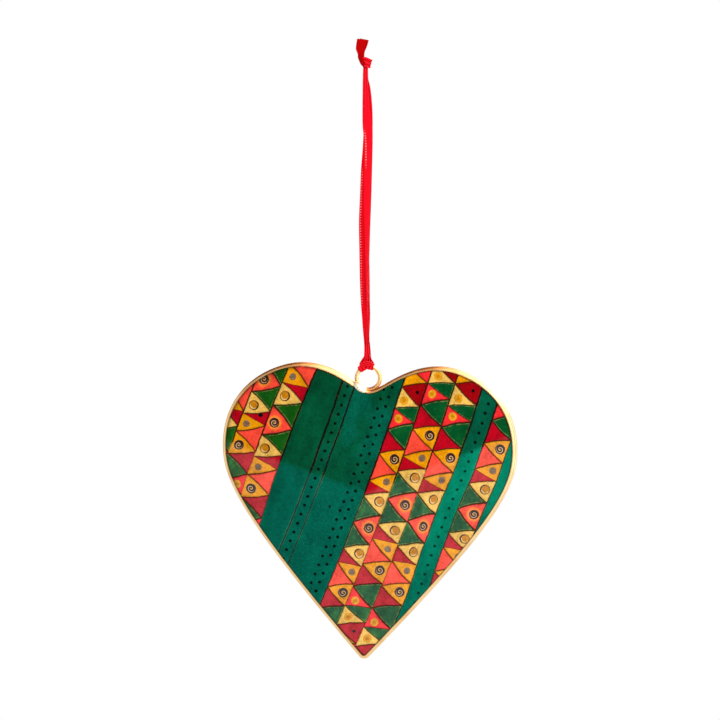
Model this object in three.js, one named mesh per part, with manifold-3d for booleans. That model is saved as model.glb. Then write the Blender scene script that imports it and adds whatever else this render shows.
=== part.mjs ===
// A hanging metal heart: two stamped brass shells soldered at a seam, painted panels, a wire ring and a ribbon.
// Millimetres, +Z up, the front faces -Y. The origin is the hanging point, in the ribbon's loop under its knot.
import * as THREE from 'three';
import { mergeVertices } from 'three/addons/utils/BufferGeometryUtils.js';
import Module from 'manifold-3d';

const wasm = await Module();
wasm.setup();

// Heart outline, as heights from the tip
const heartWidth = 90;
const flankHeight = 48.5; // where the straight flanks would reach the full width
const hipRise = 15.8; // from there up to the widest point
const lobeRise = 25.3; // from the widest point up to the lobes' tops
const lobeSpacing = 42;
const cleftDepth = 7.6;
const tipRadius = 2;

// Fullness of the outline's curves, as shares of the legs that each curve rounds off
const flankFullness = 0.88;
const hipFullness = 0.68;
const sideFullness = 0.735;
const lobeFullness = 0.335;
const lobeInnerFullness = 0.52;
const cleftFullness = 0.165;

// Section through a shell, from the seam outwards
const sheetThickness = 0.6;
const seamWidth = 0.5; // space between the two walls, which the solder fills
const wallDepth = 1.25;
const shoulderRadius = 0.9;
const faceCrown = 1.5;
const crownPower = 0.75;
const crownCentreHeight = 50; // the crown's highest point, from the tip
const crownRoundness = 1.5; // how soon the crown's contours turn from heart to circle

// Painted panels and seam
const rimBorder = 1.05; // bare metal round a panel, seen from the front
const panelThickness = 0.45;
const panelClearance = 0.1;
const seamRecess = 0.15;
const seamClearance = 0.1;

// Hanging ring and its solder
const ringRadius = 3.55; // to the middle of the wire
const ringWire = 1.3;
const ringSeat = 0.7; // how deep the ring's foot is let into the cleft
const ringOffset = -0.77; // the ring stands off the heart's centre line, so the heart leans
const heartLean = 1.25; // degrees
const ringFit = 0.3;
const solderLength = 2.6;
const solderHeight = 1.5;
const solderDepth = 1.75;
const solderAngle = 24; // degrees round the ring from its foot, to the left

// Ribbon
const ringDrop = 93.6; // the ring's centre below the hanging point
const ringSide = 0.42; // the ring's centre beside the ribbon's line
const ribbonWidth = 3;
const ribbonThickness = 0.35;
const ribbonGap = 0.3; // between stretches of the ribbon that meet
const bendRise = 3.05; // from the wire's top up to where the ribbon bends
const neckLength = 4;
const neckWidth = 1.5;
const neckDepth = 1.2;
const neckRounding = 0.2;
const wrapWidth = 2;
const wrapThickness = 0.42;
const wrapAngles = [-32, 9]; // degrees round the ring from its top
const bightReach = 0.95; // the bight lies this far outside the wire's middle
const bightForward = 1.4;
const bightHeight = 1.3;
const bightDepth = 0.9;
const throatSpread = 3.6;
const knotHeight = 3.1;
const turnThickness = 0.5; // the turn of ribbon round the knot
const tailLength = 4.8;

// How finely curves are cut
const tipSteps = 2;
const flankSteps = 9;
const lobeSteps = 9;
const cleftSteps = 8;
const crownShares = [0.25, 0.5, 0.7, 0.85, 0.95];
const shoulderCuts = [90, 60, 30, 0]; // degrees from the wall
const innerCuts = [0, 45, 90];
const ringSteps = 36;
const wireSides = 10;
const wrapSteps = 16;
const knotSides = 12;

const brass = new THREE.MeshStandardMaterial({ color: 0xd9ae62, roughness: 0.28, metalness: 1 });
const solder = new THREE.MeshStandardMaterial({ color: 0xe6cf9d, roughness: 0.3, metalness: 1 });
const paint = new THREE.MeshStandardMaterial({ color: 0x04543a, roughness: 0.12, metalness: 0 });
const satin = new THREE.MeshStandardMaterial({ color: 0xe00c18, roughness: 0.45, metalness: 0 });

const radians = THREE.MathUtils.degToRad;

// Derived sizes
const halfWidth = heartWidth / 2;
const widestHeight = flankHeight + hipRise;
const lobeHeight = widestHeight + lobeRise;
const cleftHeight = lobeHeight - cleftDepth;
const seamHalf = seamWidth / 2;
const wallEdge = seamHalf + wallDepth;
const faceEdge = wallEdge + shoulderRadius;
const wireRadius = ringWire / 2;
const ringAboveCleft = ringRadius + wireRadius - ringSeat;
const ringHeight = cleftHeight + ringAboveCleft;
const bendZ = -ringDrop + ringRadius + bendRise;
const neckTop = bendZ + neckLength;
const wrapInner = wireRadius + ringFit;
const wrapOuter = wrapInner + wrapThickness;

// Solids

function closedSolid(points, triangles) {
  let volume = 0;
  for (const [a, b, c] of triangles) volume += points[a].dot(points[b].clone().cross(points[c]));
  const outward = volume > 0 ? triangles : triangles.map(([a, b, c]) => [a, c, b]);
  const geometry = new THREE.BufferGeometry();
  geometry.setAttribute('position', new THREE.Float32BufferAttribute(points.flatMap((p) => p.toArray()), 3));
  geometry.setIndex(outward.flat());
  geometry.computeVertexNormals();
  return geometry;
}

function joinRings(rings, isLoop) {
  const count = rings[0].length;
  const triangles = [];
  const spans = isLoop ? rings.length : rings.length - 1;
  for (let r = 0; r < spans; r += 1) {
    const here = r * count;
    const next = ((r + 1) % rings.length) * count;
    for (let i = 0; i < count; i += 1) {
      const j = (i + 1) % count;
      triangles.push([here + i, here + j, next + j], [here + i, next + j, next + i]);
    }
  }
  return triangles;
}

// Rings of points in order, closed by a point at each end
function ringSolid(firstPole, rings, lastPole) {
  const count = rings[0].length;
  const points = [...rings.flat(), firstPole, lastPole];
  const triangles = joinRings(rings, false);
  const first = points.length - 2;
  const last = points.length - 1;
  const lastRing = (rings.length - 1) * count;
  for (let i = 0; i < count; i += 1) {
    const j = (i + 1) % count;
    triangles.push([first, j, i], [last, lastRing + i, lastRing + j]);
  }
  return closedSolid(points, triangles);
}

function ringLoop(rings) {
  return closedSolid(rings.flat(), joinRings(rings, true));
}

function toManifold(geometry) {
  const bare = geometry.clone();
  bare.deleteAttribute('normal');
  bare.deleteAttribute('uv');
  const merged = mergeVertices(bare);
  const vertProperties = new Float32Array(merged.attributes.position.array);
  const triVerts = new Uint32Array(merged.index.array);
  return new wasm.Manifold(new wasm.Mesh({ numProp: 3, vertProperties, triVerts }));
}

function toGeometry(manifold) {
  const mesh = manifold.getMesh();
  const geometry = new THREE.BufferGeometry();
  geometry.setAttribute('position', new THREE.Float32BufferAttribute(mesh.vertProperties, 3));
  geometry.setIndex(Array.from(mesh.triVerts));
  geometry.computeVertexNormals();
  return geometry;
}

function cutBy(geometry, ...cutters) {
  return toGeometry(cutters.reduce((solid, cutter) => solid.subtract(toManifold(cutter)), toManifold(geometry)));
}

function joinAll(...geometries) {
  return toGeometry(geometries.map(toManifold).reduce((solid, next) => solid.add(next)));
}

function part(name, geometry, material) {
  const mesh = new THREE.Mesh(geometry, material);
  mesh.name = name;
  return mesh;
}

// Heart outline: points with their outward normals, from the tip up the right side, then down the left

function heartOutline() {
  const meet = new THREE.Vector2(halfWidth, flankHeight);
  const reach = Math.hypot(meet.x, meet.y - tipRadius);
  const flankAngle = Math.acos(tipRadius / reach) - Math.atan2(meet.y - tipRadius, meet.x);
  const uphill = new THREE.Vector2(Math.sin(flankAngle), Math.cos(flankAngle));
  const flankStart = new THREE.Vector2(
    tipRadius * Math.cos(flankAngle), tipRadius * (1 - Math.sin(flankAngle)));
  const flankHandle = flankFullness * flankStart.distanceTo(meet);
  const widest = new THREE.Vector2(halfWidth, widestHeight);
  const lobeTop = new THREE.Vector2(lobeSpacing / 2, lobeHeight);
  const cleft = new THREE.Vector2(0, cleftHeight);
  const curves = [
    [new THREE.EllipseCurve(0, tipRadius, tipRadius, tipRadius, -Math.PI / 2, -flankAngle), tipSteps],
    [new THREE.CubicBezierCurve(
      flankStart,
      flankStart.clone().addScaledVector(uphill, flankHandle),
      new THREE.Vector2(halfWidth, widestHeight - hipFullness * hipRise),
      widest), flankSteps],
    [new THREE.CubicBezierCurve(
      widest,
      new THREE.Vector2(halfWidth, widestHeight + sideFullness * lobeRise),
      new THREE.Vector2(lobeTop.x + lobeFullness * (halfWidth - lobeTop.x), lobeHeight),
      lobeTop), lobeSteps],
    [new THREE.CubicBezierCurve(
      lobeTop,
      new THREE.Vector2(lobeTop.x * (1 - lobeInnerFullness), lobeHeight),
      new THREE.Vector2(lobeTop.x * cleftFullness, cleftHeight),
      cleft), cleftSteps],
  ];
  const right = [];
  for (const [curve, steps] of curves) {
    for (let i = 0; i < steps; i += 1) {
      const tangent = curve.getTangent(i / steps);
      right.push({ at: curve.getPoint(i / steps), normal: new THREE.Vector2(tangent.y, -tangent.x) });
    }
  }
  const top = { at: cleft, normal: new THREE.Vector2(0, 1) };
  const left = right.slice(1).reverse().map(({ at, normal }) => ({
    at: new THREE.Vector2(-at.x, at.y),
    normal: new THREE.Vector2(-normal.x, normal.y),
  }));
  return [...right, top, ...left];
}

const outline = heartOutline();

// A point of the heart, measured from the tip, in the leaning group whose origin is the ring's centre
function heartPoint(flat, depth) {
  return new THREE.Vector3(flat.x - ringOffset, depth, flat.y - ringHeight);
}

function insetRing(inset, depth) {
  return outline.map(({ at, normal }) => heartPoint(at.clone().addScaledVector(normal, -inset), depth));
}

// The crown's contours: the face's own outline at its edge, turning to a circle at the middle
const crownCentre = new THREE.Vector2(0, crownCentreHeight);

function crownFlat(share, inset) {
  const bend = share ** crownRoundness;
  const spokes = outline.map(({ at, normal }) => at.clone().addScaledVector(normal, -inset).sub(crownCentre));
  const circleRadius = Math.min(...spokes.map((spoke) => spoke.length()));
  return spokes.map((spoke) => {
    const length = share * (bend * spoke.length() + (1 - bend) * circleRadius);
    return crownCentre.clone().addScaledVector(spoke.normalize(), length);
  });
}

function crownLift(share) {
  return faceCrown * (1 - share ** 2) ** crownPower;
}

function crownRing(share, inset, side, base) {
  return crownFlat(share, inset).map((flat) => heartPoint(flat, side * (base + crownLift(share))));
}

function crownPole(side, base) {
  return heartPoint(crownCentre, side * (base + crownLift(0)));
}

function shoulderRing(radius, inset, angle, side) {
  const turned = radians(angle);
  const depth = wallEdge + radius * Math.sin(turned);
  return insetRing(inset + radius * (1 - Math.cos(turned)), side * depth);
}

const outwardShares = crownShares.slice().reverse();
const ringPlane = new THREE.Matrix4().makeRotationX(Math.PI / 2);

function ringTorus(wire) {
  return new THREE.TorusGeometry(ringRadius, wire, wireSides, ringSteps).applyMatrix4(ringPlane);
}

const ringSocket = ringTorus(wireRadius + ringFit);

// A stamped dish: crowned face, round shoulder and side wall, notched at the cleft for the ring's foot
function shell(side) {
  const innerRadius = shoulderRadius - sheetThickness;
  const innerFace = faceEdge - sheetThickness;
  const rings = [
    ...crownShares.map((share) => crownRing(share, shoulderRadius, side, faceEdge)),
    ...shoulderCuts.map((angle) => shoulderRing(shoulderRadius, 0, angle, side)),
    insetRing(0, side * seamHalf),
    insetRing(sheetThickness, side * seamHalf),
    ...innerCuts.map((angle) => shoulderRing(innerRadius, sheetThickness, angle, side)),
    ...outwardShares.map((share) => crownRing(share, shoulderRadius, side, innerFace)),
  ];
  const dish = ringSolid(crownPole(side, faceEdge), rings, crownPole(side, innerFace));
  return cutBy(dish, ringSocket);
}

// A painted skin that follows the crown, inside the bare rim
function panel(side) {
  const under = faceEdge + panelClearance;
  const top = under + panelThickness;
  const rings = [
    ...crownShares.map((share) => crownRing(share, rimBorder, side, top)),
    insetRing(rimBorder + panelThickness / 2, side * top),
    insetRing(rimBorder, side * (top - panelThickness / 2)),
    insetRing(rimBorder, side * under),
    ...outwardShares.map((share) => crownRing(share, rimBorder, side, under)),
  ];
  return ringSolid(crownPole(side, top), rings, crownPole(side, under));
}

function seamLine() {
  const half = seamHalf - seamClearance;
  const strip = ringLoop([
    insetRing(seamRecess, -half),
    insetRing(seamRecess, half),
    insetRing(sheetThickness, half),
    insetRing(sheetThickness, -half),
  ]);
  return cutBy(strip, ringSocket);
}

// Solder that runs round the ring's foot, clear of the wire and of the walls below it
function ringBead() {
  const turned = radians(solderAngle);
  const blob = new THREE.SphereGeometry(1, 16, 12);
  blob.scale(solderLength, solderDepth, solderHeight);
  blob.rotateY(turned);
  blob.translate(-ringRadius * Math.sin(turned), 0, -ringRadius * Math.cos(turned));
  const depth = faceEdge + ringFit;
  const walls = ringSolid(
    heartPoint(crownCentre, -depth), [insetRing(-ringFit, -depth), insetRing(-ringFit, depth)],
    heartPoint(crownCentre, depth));
  return cutBy(blob, ringSocket, walls);
}

// Ribbon: a flat band through stations of [share of the way down, x, y, share of the width, turn in degrees]
function band(stations, topZ, bottomZ) {
  const section = [[-1, -0.5], [-0.5, -1], [0.5, -1], [1, -0.5], [1, 0.5], [0.5, 1], [-0.5, 1], [-1, 0.5]];
  const rings = stations.map(([share, x, y, widthShare, turn]) => {
    const z = topZ + share * (bottomZ - topZ);
    const across = new THREE.Vector3(Math.cos(radians(turn)), Math.sin(radians(turn)), 0);
    const through = new THREE.Vector3(-across.y, across.x, 0);
    return section.map(([u, v]) => new THREE.Vector3(x, y, z)
      .addScaledVector(across, u * widthShare * ribbonWidth / 2)
      .addScaledVector(through, v * ribbonThickness / 2));
  });
  const middle = (ring) => ring.reduce((sum, p) => sum.add(p), new THREE.Vector3()).divideScalar(ring.length);
  return ringSolid(middle(rings[0]), rings, middle(rings[rings.length - 1]));
}

const leftStrand = [
  [0, -0.42, 0.42, 0.45, 6],
  [0.04, -0.38, 0.42, 0.48, 4],
  [0.07, 0, 0.4, 0.62, 2],
  [0.11, 0.25, 0.4, 0.74, 0],
  [0.16, 0.38, 0.4, 0.84, 0],
  [0.22, 0.3, 0.45, 0.92, 0],
  [0.29, 0.05, 0.5, 0.95, -2],
  [0.37, -0.4, 0.5, 1, -4],
  [0.46, -0.73, 0.4, 0.97, -6],
  [0.56, -1, 0.3, 1, -4],
  [0.66, -0.85, 0.15, 1, 0],
  [0.77, -0.7, 0.2, 1, 3],
  [0.85, -0.55, 0.25, 0.92, 6],
  [0.9, -0.36, 0.3, 0.85, 8],
  [0.95, -0.3, 0.4, 0.7, 8],
  [1, -0.25, 0.45, 0.5, 8],
];
const rightStrand = [
  [0, -0.45, -0.3, 0.48, 4],
  [0.05, -0.45, -0.35, 0.54, 4],
  [0.1, -0.35, -0.4, 0.64, 4],
  [0.16, -0.2, -0.45, 0.76, 4],
  [0.19, 0.1, -0.5, 0.95, 8],
  [0.22, 0.35, -0.7, 1, 20],
  [0.26, 0.65, -1, 1, 38],
  [0.32, 0.72, -1.3, 1, 45],
  [0.4, 0.68, -1.5, 1, 50],
  [0.48, 0.6, -1.7, 1, 54],
  [0.56, 0.55, -1.85, 1, 62],
  [0.66, 0.55, -2, 1, 73],
  [0.77, 0.5, -2, 1, 84],
  [0.85, 0.42, -1.75, 0.95, 95],
  [0.9, 0.36, -1.4, 0.85, 105],
  [0.95, 0.3, -0.85, 0.7, 122],
  [1, 0.27, -0.5, 0.5, 142],
];
const frontTail = [
  [0, -1.5, -0.32, 0.98, 6],
  [0.3, -1.77, -0.33, 0.98, 5],
  [0.55, -1.87, -0.3, 0.97, 4],
  [0.8, -1.8, -0.28, 0.7, 2],
  [1, -1.75, -0.26, 0.62, 0],
];
const backTail = [
  [0, -0.85, 0.34, 0.97, -6],
  [0.3, -1.4, 0.35, 0.97, -5],
  [0.55, -1.85, 0.32, 0.93, -4],
  [0.8, -1.8, 0.3, 0.66, -2],
  [1, -1.75, 0.28, 0.6, 0],
];

// Gathered pair of strands, rounded below so that the heart can tilt under it
function neck() {
  const radius = neckDepth / 2;
  const profile = new THREE.Shape();
  profile.moveTo(-radius, neckLength);
  profile.absarc(0, 0, radius, Math.PI, 2 * Math.PI, false);
  profile.lineTo(radius, neckLength);
  const geometry = new THREE.ExtrudeGeometry(profile, {
    depth: neckWidth - 2 * neckRounding,
    bevelEnabled: true,
    bevelThickness: neckRounding,
    bevelSize: neckRounding,
    bevelOffset: -neckRounding,
    bevelSegments: 1,
    curveSegments: 8,
  });
  geometry.translate(0, 0, neckRounding - neckWidth / 2);
  geometry.rotateX(Math.PI / 2);
  geometry.rotateZ(Math.PI / 2);
  return geometry;
}

// One wrap of the ribbon round the wire: a fat band turned about the wire's own direction
function wrap(angle) {
  const half = wrapWidth / 2;
  const bulge = wrapThickness / 2;
  const profile = [
    [wrapInner, -half + bulge],
    [wrapInner + bulge, -half],
    [wrapOuter, -half + bulge],
    [wrapOuter, half - bulge],
    [wrapInner + bulge, half],
    [wrapInner, half - bulge],
    [wrapInner, -half + bulge],
  ].map(([radius, along]) => new THREE.Vector2(radius, along));
  const geometry = new THREE.LatheGeometry(profile, wrapSteps);
  geometry.rotateZ(Math.PI / 2);
  geometry.translate(0, 0, ringRadius);
  geometry.rotateY(radians(angle));
  return geometry;
}

// The bight: the ribbon's own end that lies across the front, over both wraps
function bight() {
  const arc = new THREE.CatmullRomCurve3(
    [0, 0.25, 0.5, 0.75, 1].map((share) => {
      const angle = radians(THREE.MathUtils.lerp(...wrapAngles, share));
      const reach = ringRadius + bightReach;
      return new THREE.Vector3(reach * Math.sin(angle), -bightForward, reach * Math.cos(angle));
    }));
  const section = new THREE.Shape();
  section.absellipse(0, 0, bightDepth / 2, bightHeight / 2, 0, 2 * Math.PI, false, 0);
  return new THREE.ExtrudeGeometry(section, { extrudePath: arc, steps: 8, curveSegments: 5 });
}

// The two strands going down behind the bight and spreading to the wraps
function throat() {
  const top = bendZ + ringDrop - neckDepth / 2 - ribbonGap;
  const bottom = ringRadius + wrapInner;
  const slab = (width, depth, z) => [[-1, -1], [1, -1], [1, 1], [-1, 1]].map(
    ([u, v]) => new THREE.Vector3(u * width / 2, v * depth / 2, z));
  const lean = (ring, x) => ring.map((p) => p.setX(p.x + x));
  const spread = wrapAngles.map((angle) => ringRadius * Math.sin(radians(angle)));
  const rings = [
    lean(slab(neckWidth, neckDepth, top), -ringSide),
    lean(slab(throatSpread, 2 * wrapInner, bottom), (spread[0] + spread[1]) / 2),
  ];
  const middle = (z, x) => new THREE.Vector3(x, 0, z);
  return ringSolid(middle(top, -ringSide), rings, middle(bottom, (spread[0] + spread[1]) / 2));
}

function hitch() {
  return cutBy(joinAll(...wrapAngles.map(wrap), bight(), throat()), ringSocket);
}

// Overhand knot: the gathered body slants down from the tails, as [share up, x, half width, half depth],
// and one turn of ribbon goes round it, as [x, y, share up, share of the height, lean in degrees]
const knotBody = [
  [0, -0.6, 0.55, 0.45],
  [0.15, -0.85, 0.7, 0.85],
  [0.35, -1.1, 0.9, 1],
  [0.58, -1.4, 1, 1],
  [0.84, -1.75, 0.95, 0.85],
  [1, -1.95, 0.85, 0.55],
];
const knotTurn = [
  [-1.3, -0.55, 0.61, 0.71, -10],
  [-0.55, -0.95, 0.55, 0.81, -5],
  [0.2, -1, 0.47, 0.81, 2],
  [0.75, -0.8, 0.41, 0.77, 9],
  [1.03, -0.3, 0.39, 0.75, 14],
  [1.05, 0.3, 0.39, 0.74, 14],
  [0.7, 0.8, 0.39, 0.71, 8],
  [-0.1, 1.05, 0.4, 0.68, 0],
  [-1, 0.95, 0.48, 0.68, -8],
  [-1.7, 0.3, 0.56, 0.65, -10],
];

function knot() {
  const rings = knotBody.map(([rise, x, halfAcross, halfDepth]) => Array.from({ length: knotSides }, (_, i) => {
    const angle = (2 * Math.PI * i) / knotSides;
    return new THREE.Vector3(x + halfAcross * Math.cos(angle), halfDepth * Math.sin(angle), rise * knotHeight);
  }));
  const end = ([rise, x]) => new THREE.Vector3(x, 0, rise * knotHeight);
  const body = ringSolid(end(knotBody[0]), rings, end(knotBody[knotBody.length - 1]));
  const middles = knotTurn.map(([x, y, rise]) => new THREE.Vector3(x, y, rise * knotHeight));
  const turn = ringLoop(knotTurn.map(([, , , widthShare, lean], i) => {
    const before = middles[(i + middles.length - 1) % middles.length];
    const after = middles[(i + 1) % middles.length];
    const up = new THREE.Vector3(Math.sin(radians(lean)), 0, Math.cos(radians(lean)));
    const through = after.clone().sub(before).cross(up).normalize();
    return [[-1, -1], [1, -1], [1, 1], [-1, 1]].map(([u, v]) => middles[i].clone()
      .addScaledVector(up, u * widthShare * knotHeight / 2)
      .addScaledVector(through, v * turnThickness / 2));
  }));
  return joinAll(body, turn);
}

// Assembly

const heart = new THREE.Group();
heart.add(
  part('front_shell', shell(-1), brass),
  part('back_shell', shell(1), brass),
  part('seam_solder', seamLine(), solder),
  part('front_panel', panel(-1), paint),
  part('back_panel', panel(1), paint),
  part('ring_solder', ringBead(), solder));
heart.rotation.y = radians(heartLean);

const hanger = new THREE.Group();
hanger.add(
  heart,
  part('hanging_ring', ringTorus(wireRadius), brass),
  part('ribbon_hitch', hitch(), satin));
hanger.position.set(ringSide, 0, -ringDrop);

const neckMesh = part('ribbon_neck', neck(), satin);
neckMesh.position.set(0, 0, bendZ);

const knotMesh = part('ribbon_knot', knot(), satin);
knotMesh.position.set(0, 0, ribbonGap);

const strandBottom = neckTop + ribbonGap;
const tailBottom = 2 * ribbonGap + knotHeight;
const tailTop = tailBottom + tailLength;

const ornament = new THREE.Group();
ornament.add(
  hanger,
  neckMesh,
  knotMesh,
  part('ribbon_left_strand', band(leftStrand, 0, strandBottom), satin),
  part('ribbon_right_strand', band(rightStrand, 0, strandBottom), satin),
  part('ribbon_front_tail', band(frontTail, tailTop, tailBottom), satin),
  part('ribbon_back_tail', band(backTail, tailTop, tailBottom), satin));

export default ornament;
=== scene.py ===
import math

import bpy
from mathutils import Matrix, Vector


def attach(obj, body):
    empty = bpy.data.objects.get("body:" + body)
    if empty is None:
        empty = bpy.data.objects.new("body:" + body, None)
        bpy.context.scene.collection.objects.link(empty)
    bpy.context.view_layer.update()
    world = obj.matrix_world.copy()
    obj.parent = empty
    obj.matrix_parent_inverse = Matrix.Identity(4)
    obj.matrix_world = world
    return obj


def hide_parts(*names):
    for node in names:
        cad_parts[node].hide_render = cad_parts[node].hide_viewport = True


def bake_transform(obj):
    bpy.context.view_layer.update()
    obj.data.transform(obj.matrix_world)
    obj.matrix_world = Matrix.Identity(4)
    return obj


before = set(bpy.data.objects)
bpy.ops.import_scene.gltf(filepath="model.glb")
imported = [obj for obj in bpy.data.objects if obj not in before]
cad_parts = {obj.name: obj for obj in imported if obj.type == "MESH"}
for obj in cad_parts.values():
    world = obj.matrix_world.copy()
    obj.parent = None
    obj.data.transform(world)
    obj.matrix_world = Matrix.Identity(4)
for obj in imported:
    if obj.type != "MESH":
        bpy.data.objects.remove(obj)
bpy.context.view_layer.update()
mm = 0.001
scene = bpy.context.scene
scene.view_settings.view_transform = "Standard"
print("frame loaded:", len(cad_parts), "nodes")


def wave(degrees):
    return math.cos(math.radians(degrees)), math.sin(math.radians(degrees))


def rgb(red, green, blue):
    # a colour as a paint program shows it, to the shader's linear values
    def linear(level):
        share = level / 255
        return share / 12.92 if share <= 0.04045 else ((share + 0.055) / 1.055) ** 2.4
    return linear(red), linear(green), linear(blue), 1.0


def grey(level):
    return level, level, level, 1


# Camera
cameraView = dict(
    azimuth=9.0, elevation=3.5, distance=1.0, seen=0.2182, sensor=36, aim=(-0.00215, 0, -0.0882))


def makeCamera(view):
    ca, sa = wave(view["azimuth"])
    ce, se = wave(view["elevation"])
    back = Vector((sa * ce, -ca * ce, se))
    lens = bpy.data.cameras.new("camera")
    lens.sensor_width = view["sensor"]
    lens.lens = lens.sensor_width * view["distance"] / view["seen"]
    camera = bpy.data.objects.new("camera", lens)
    scene.collection.objects.link(camera)
    camera.location = Vector(view["aim"]) + back * view["distance"]
    camera.rotation_euler = (-back).to_track_quat("-Z", "Y").to_euler()
    scene.camera = camera


makeCamera(cameraView)
print("camera placed")


# Shader sockets as values
def operator(operation, reflected=False):
    def method(self, other):
        values = (other, self) if reflected else (self, other)
        return self.finish.node("ShaderNodeMath", dict(operation=operation), *values)
    return method


class Value:
    def __init__(self, finish, socket):
        self.finish = finish
        self.socket = socket

    __add__, __radd__ = operator("ADD"), operator("ADD", True)
    __sub__, __rsub__ = operator("SUBTRACT"), operator("SUBTRACT", True)
    __mul__, __rmul__ = operator("MULTIPLY"), operator("MULTIPLY", True)
    __truediv__, __rtruediv__ = operator("DIVIDE"), operator("DIVIDE", True)
    __pow__, __rpow__ = operator("POWER"), operator("POWER", True)
    __lt__, __gt__ = operator("LESS_THAN"), operator("GREATER_THAN")
    lower, higher = operator("MINIMUM"), operator("MAXIMUM")

    def math(self, operation, *others):
        return self.finish.node("ShaderNodeMath", dict(operation=operation), self, *others)

    def __abs__(self):
        return self.math("ABSOLUTE")

    def ramp(self, start, end):
        # 0 at start, 1 at end, smooth between
        return self.finish.node("ShaderNodeMapRange", dict(interpolation_type="SMOOTHSTEP"),
                                self, start, end, 0.0, 1.0)

    def between(self, start, end, soft):
        return self.ramp(start, start + soft) * self.ramp(end, end - soft)


def distance(u, v):
    return (u * u + v * v) ** 0.5


class Nodes:
    def __init__(self, tree):
        self.tree = tree

    def node(self, kind, settings=None, *values, out=0, named=None):
        made = self.tree.nodes.new(kind)
        for key, value in (settings or {}).items():
            if key == "stops":
                self.setStops(made.color_ramp, value)
            elif key == "curve":
                made.color_ramp.interpolation = value
            else:
                setattr(made, key, value)
        for socket, value in zip(made.inputs, values):
            self.feed(socket, value)
        for key, value in (named or {}).items():
            self.feed(made.inputs[key], value)
        return Value(self, made.outputs[out])

    def feed(self, socket, value):
        if isinstance(value, Value):
            self.tree.links.new(value.socket, socket)
        elif value is not None:
            socket.default_value = value

    def setStops(self, ramp, stops):
        while len(ramp.elements) < len(stops):
            ramp.elements.new(0.5)
        for element, (place, colour) in zip(ramp.elements, stops):
            element.position = place
            element.color = colour

    def mix(self, share, first, second, blend="MIX"):
        return self.node("ShaderNodeMix", dict(data_type="RGBA", blend_type=blend), out=2,
                         named={0: share, 6: first, 7: second})

    def layered(self, colour, layers):
        # each layer covers a share of what lies under it
        for share, over in layers:
            colour = self.mix(share, colour, over)
        return colour

    def shade(self):
        # the hollows, corners and lines that the mesh code marked, 0 to 1, down to -1 on ribbon ridges:
        # painted shade and highlight on the ribbon, patina and painted shade on the brass, the dark seam, and
        # the line at the paint's edge
        return self.node("ShaderNodeAttribute", dict(attribute_name="shade"), out="Fac")

    def split(self, value, kind="ShaderNodeSeparateXYZ"):
        parts = self.node(kind, None, value).socket.node.outputs
        return [Value(self, part) for part in parts]

    def objectXyz(self, scale):
        place = self.node("ShaderNodeTexCoord", None, out="Object")
        return [part * scale for part in self.split(place)]

    def rays(self):
        kinds = self.node("ShaderNodeLightPath").socket.node.outputs
        return [Value(self, kinds[f"Is {kind} Ray"]) for kind in ("Camera", "Glossy", "Transmission")]

    def noise(self, size, detail, at, rough=0.5):
        # size is the width of the spots in the units of the coordinates given
        return self.node("ShaderNodeTexNoise", None,
                         named={"Vector": self.vector(*at), "Scale": 1 / size, "Detail": detail,
                                "Roughness": rough})

    def vector(self, x, y, z):
        return self.node("ShaderNodeCombineXYZ", None, x, y, z)


class Finish(Nodes):
    def __init__(self, name, fixed):
        self.material = bpy.data.materials.new(name)
        self.material.use_nodes = True
        super().__init__(self.material.node_tree)
        self.shader = self.tree.nodes["Principled BSDF"]
        for socket, value in fixed.items():
            self.shader.inputs[socket].default_value = value

    def wear(self, socket, value):
        self.feed(self.shader.inputs[socket], value)

    def rough(self, span, value):
        self.wear("Roughness", span[0] + value * span[1])

    def bump(self, height, depth, strength):
        made = self.node("ShaderNodeBump", None,
                         named={"Strength": strength, "Distance": depth, "Height": height})
        self.wear("Normal", made)


# Satin ribbon: fine ribs, soft shine, stitches along the edges. Its colour holds painted shade in the folds'
# hollows, painted shadow where one strand lies over the other, and painted highlight on the ridges and on the
# stitches where they catch the light. A darker copy is painted shade on the knot's body and the tails
satinLook = dict(
    face=rgb(252, 14, 36), deep=rgb(122, 0, 3), stitch=rgb(255, 160, 154), ridgeHighlight=rgb(255, 84, 92))
# a darker copy of the satin: painted shade
satinShadedLook = dict(
    face=rgb(192, 1, 3), deep=rgb(112, 0, 2), stitch=rgb(224, 40, 40), ridgeHighlight=rgb(214, 12, 16))
weave = dict(
    ribPitch=0.16, threadPitch=0.11, stitchPitch=0.81, hem=(0.85, 1.3), hemSoft=0.1,
    stretches=[(18, 31, 1.0), (130, 173, 0.85)], stretchSoft=3,  # where the stitches show, and how strongly
    # painted shadow where one strand lies over the other
    overlap=(-0.3, 0.5), overlapEnd=(1.2, 0.8), overlapped=(126, 178), overlapSoft=8,
    roughness=(0.44, 0.12), threadDepth=0.00004)


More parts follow.
